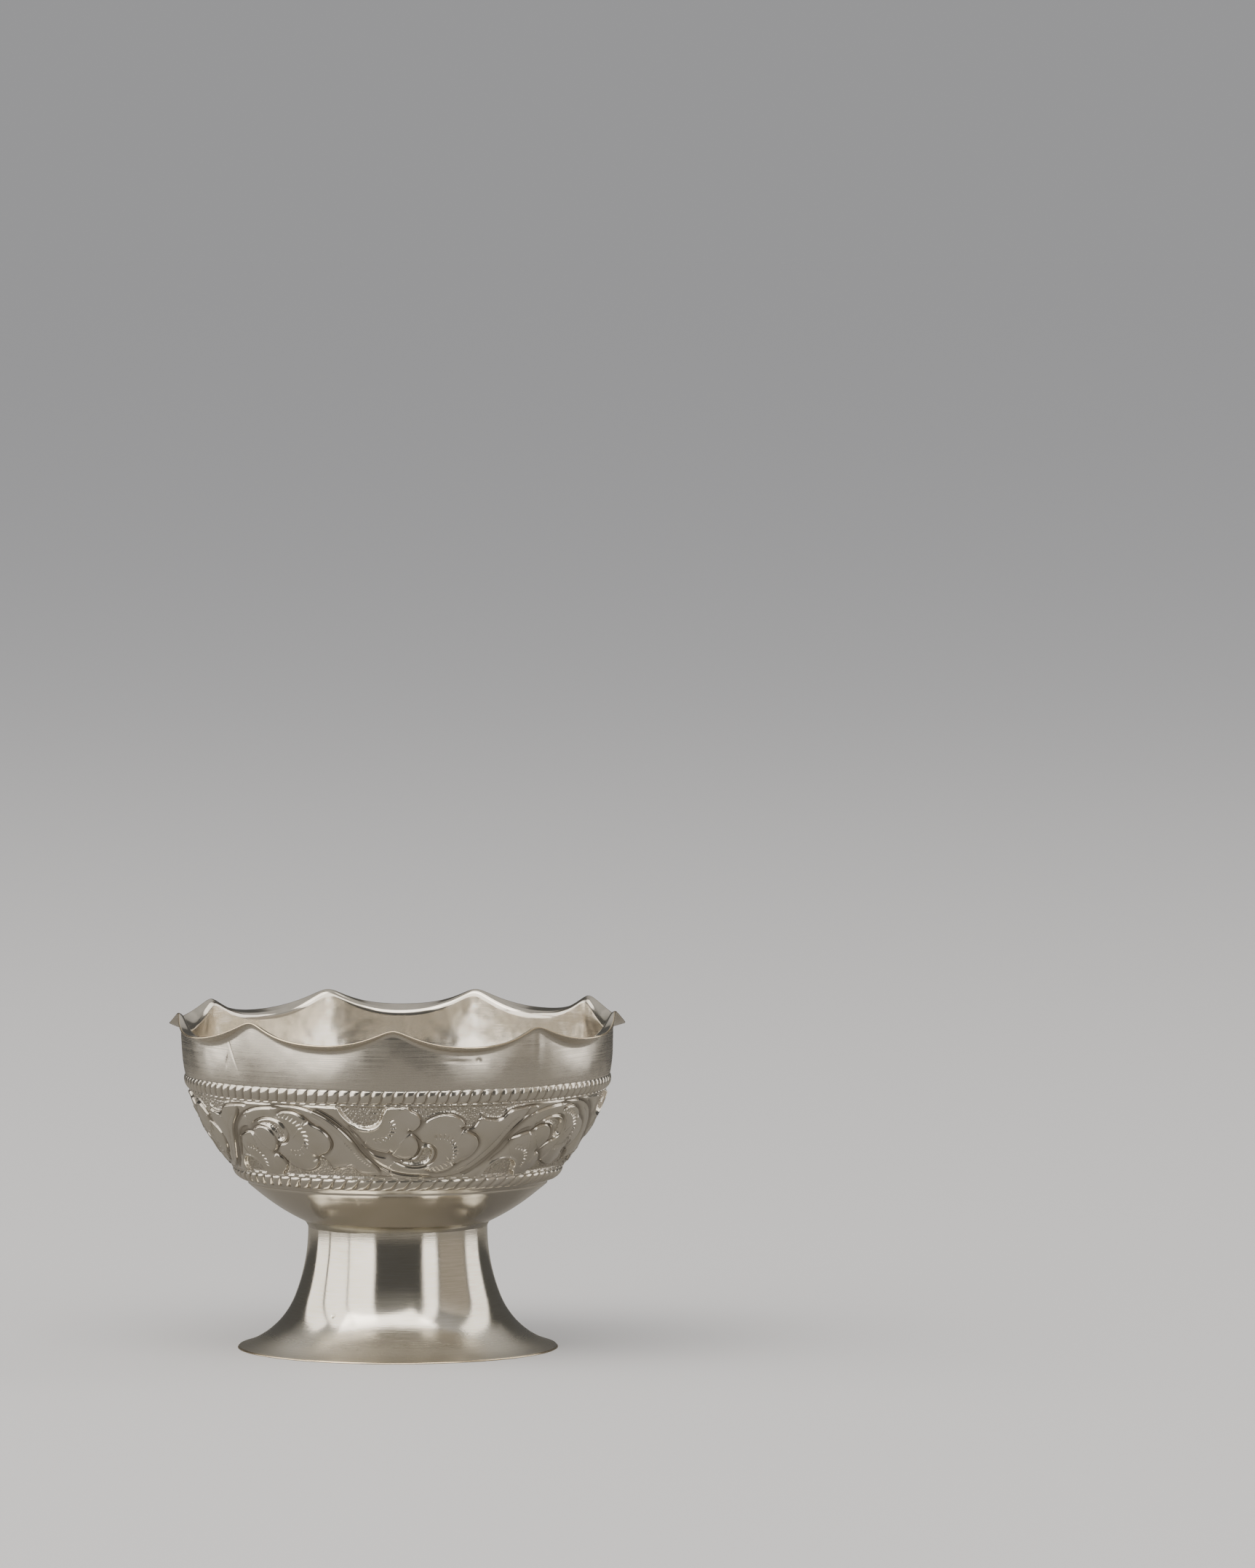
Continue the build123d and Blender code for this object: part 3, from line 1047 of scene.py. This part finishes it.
def bowl_materials():
    """In the order of the bowl's zones."""
    return (
        # painted shade: the satin wall uses the darker copy of the silver
        silver("satin_wall", 0.26, SHADED_WALL_SILVER, lines=(0.07, 12.0, 0.005), anisotropy=0.3),
        silver("frosted_band", 0.22, chased=True, orange_peel=0.007),
        silver("chased_rope", 0.2, chased=True, orange_peel=0.003),
        silver("polished_underside", 0.12, lines=(0.06, 30.0, 0.0015), anisotropy=0.3),
        silver("polished_petal", 0.13, mottle=0.05, orange_peel=0.002),
        # painted light: the inner wall uses the lighter copy of the silver
        silver("brushed_inner_wall", 0.15, LIT_INNER_SILVER, lines=(0.07, 9.0, 0.008),
               anisotropy=0.4, waves=0.35),
        silver("brushed_bottom", 0.13, strokes=(0.11, 5.0, 0.012)),
        # painted warm highlight on the cut rim edge
        silver("cut_rim_edge", 0.2, EDGE_GLINT_SILVER),
    )


def foot_materials():
    """In the order of the foot's zones."""
    return (
        silver("spun_foot_outside", 0.1, lines=(0.13, 4.0, 0.006), anisotropy=0.6,
               mottle=0.08, grainy_edge=True, orange_peel=0.03),
        silver("foot_inside", 0.3, HIDDEN_SILVER, lines=(0.12, 12.0, 0.02), mottle=0.1),
        # painted warm highlight on the cut foot edge
        silver("cut_foot_edge", 0.2, EDGE_GLINT_SILVER),
    )


def solder():
    return silver("solder", 0.3, SOLDER, mottle=0.1)


# ------------------------------------------------------- camera, floor, light

VIEW_DISTANCE = 1.5  # metres, as is the rest of this part
VIEW_PITCH = math.radians(3.45)
VIEW_AIM = (0.03165, 0.0, 0.0777)
FRAME_HEIGHT = 0.2156  # that the picture spans at the cup

FLOOR_REACH = 12.0
FLOOR_COLOUR = (0.55, 0.55, 0.56)
TABLE_COLOUR = (0.17, 0.163, 0.15)
TABLE_EDGE = (0.2, 0.3)  # the mirrored table fades out between these distances

WARM_WHITE = (1.0, 0.945, 0.87)
AMBER = (1.0, 0.86, 0.68)
SOFTBOX_DISTANCE = 1.15
SOFTBOX_FOOT = -0.1
SOFTBOXES = (  # name, azimuths it spans, height of its top, strength, colour
    ("left_front", -62, -29, 1.9, 7.6, WARM_WHITE),
    ("left_side", -94, -64, 1.6, 7.0, WARM_WHITE),
    ("left_back", -122, -97, 1.2, 6.5, WARM_WHITE),
    ("right_front", 34, 51, 1.9, 7.2, WARM_WHITE),
    ("right_side", 54, 94, 1.0, 1.0, AMBER),
    ("right_back", 97, 124, 1.6, 5.8, WARM_WHITE),
)

BACKDROP = (0.338, 0.337, 0.344)  # behind the cup, as bright as the far floor
ROOM = (0.09, 0.088, 0.083)  # what the silver mirrors beyond the lights
CEILING = (0.5, 0.485, 0.455)  # what it mirrors overhead
CEILING_RISE = (0.45, 0.85)  # upward part of the directions where it starts and is full
FILL = (0.735, 0.735, 0.745)  # soft light on the floor


def link_object(name, data):
    holder = bpy.data.objects.new(name, data)
    bpy.context.scene.collection.objects.link(holder)
    return holder


def make_camera():
    camera = bpy.data.cameras.new("camera")
    camera.sensor_width = 36.0
    camera.sensor_fit = "AUTO"
    camera.lens = camera.sensor_width * VIEW_DISTANCE / FRAME_HEIGHT
    camera.clip_start = 0.05
    camera.clip_end = 50.0
    holder = link_object("camera", camera)
    back = Vector((0, -math.cos(VIEW_PITCH), math.sin(VIEW_PITCH)))
    holder.location = Vector(VIEW_AIM) + back * VIEW_DISTANCE
    holder.rotation_euler = (math.pi / 2 - VIEW_PITCH, 0, 0)
    bpy.context.scene.camera = holder


class StageNodes(Nodes):
    """The nodes of the floor and the surroundings."""

    def mix(self, factor, low, high):
        """Mixes the first outputs of two nodes."""
        inputs = {"Fac": factor, 1: low.outputs[0], 2: high.outputs[0]}
        return self.add("MixShader", inputs)

    def ramp(self, value, low, high):
        """0 below the first limit, 1 above the second."""
        inputs = {"Value": value, "From Min": low, "From Max": high}
        return self.add("MapRange", inputs).outputs["Result"]

    def background(self, colour):
        return self.add("Background", {"Color": (*colour, 1)})


def floor_material():
    """Pale to the camera, but the silver mirrors a small dark table instead."""
    material = bpy.data.materials.new("pale_floor")
    material.use_nodes = True
    material.node_tree.nodes.clear()
    nodes = StageNodes(material.node_tree)
    pale = nodes.add("BsdfPrincipled", {"Base Color": (*FLOOR_COLOUR, 1), "Roughness": 0.6})
    table = nodes.add("BsdfDiffuse", {"Color": (*TABLE_COLOUR, 1)})
    place = nodes.add("TexCoord").outputs["Object"]
    distance = nodes.add("VectorMath", {0: place}, operation="LENGTH").outputs["Value"]
    beyond = nodes.add("BsdfTransparent")
    mirrored = nodes.mix(nodes.ramp(distance, *TABLE_EDGE), table, beyond)
    glossy = nodes.add("LightPath").outputs["Is Glossy Ray"]
    whole = nodes.mix(glossy, pale, mirrored)
    nodes.add("OutputMaterial", {"Surface": whole.outputs["Shader"]})
    return material


def make_floor():
    mesh = bpy.data.meshes.new("floor")
    signs = ((-1, -1), (1, -1), (1, 1), (-1, 1))
    corners = [(x * FLOOR_REACH, y * FLOOR_REACH, 0) for x, y in signs]
    mesh.from_pydata(corners, [], [(0, 1, 2, 3)])
    mesh.materials.append(floor_material())
    floor = link_object("floor", mesh)


def area_light(name, place, facing, size, energy, colour):
    """A rectangle of light that the camera doesn't see."""
    light = bpy.data.lights.new(name, "AREA")
    light.shape = "RECTANGLE"
    light.size, light.size_y = size
    light.energy = energy
    light.color = colour
    holder = link_object(name, light)
    holder.location = place
    holder.rotation_euler = Vector(facing).to_track_quat("-Z", "Y").to_euler()
    holder.visible_camera = False


def softbox(name, start, stop, top, strength, colour):
    """An upright panel of light that spans two azimuths, seen from the cup."""
    width = 2 * SOFTBOX_DISTANCE * math.tan(math.radians(stop - start) / 2)
    height = top - SOFTBOX_FOOT
    middle = math.radians((start + stop) / 2)
    outward = Vector((math.sin(middle), -math.cos(middle), 0))
    place = outward * SOFTBOX_DISTANCE + Vector((0, 0, (SOFTBOX_FOOT + top) / 2))
    energy = strength * width * height
    area_light(name, place, -outward, (width, height), energy, colour)


def overhead_panel(name, place, size, energy):
    """A panel of light above the cup, turned to face it."""
    area_light(name, place, -Vector(place), size, energy, WARM_WHITE)


def make_surroundings():
    """The silver mirrors a dim room, while the camera sees a pale backdrop."""
    world = bpy.data.worlds.new("studio")
    bpy.context.scene.world = world
    world.use_nodes = True
    world.node_tree.nodes.clear()
    nodes = StageNodes(world.node_tree)
    direction = nodes.add("TexCoord").outputs["Generated"]
    rise = nodes.add("SeparateXYZ", {"Vector": direction}).outputs["Z"]
    overhead = nodes.ramp(rise, *CEILING_RISE)
    mirrored = nodes.mix(overhead, nodes.background(ROOM), nodes.background(CEILING))
    path = nodes.add("LightPath").outputs
    seen = nodes.mix(path["Is Glossy Ray"], nodes.background(BACKDROP), mirrored)
    whole = nodes.mix(path["Is Diffuse Ray"], seen, nodes.background(FILL))
    nodes.add("OutputWorld", {"Surface": whole.outputs["Shader"]})


def make_lights():
    for box in SOFTBOXES:
        softbox(*box)
    overhead_panel("overhead", (-0.2, -0.5, 1.35), (1.8, 1.0), 17)
    overhead_panel("behind", (0.1, 1.1, 0.95), (1.8, 0.5), 0.5)


make_camera()
make_floor()
make_lights()
make_surroundings()
make_bowl()
make_foot()
make_seam()
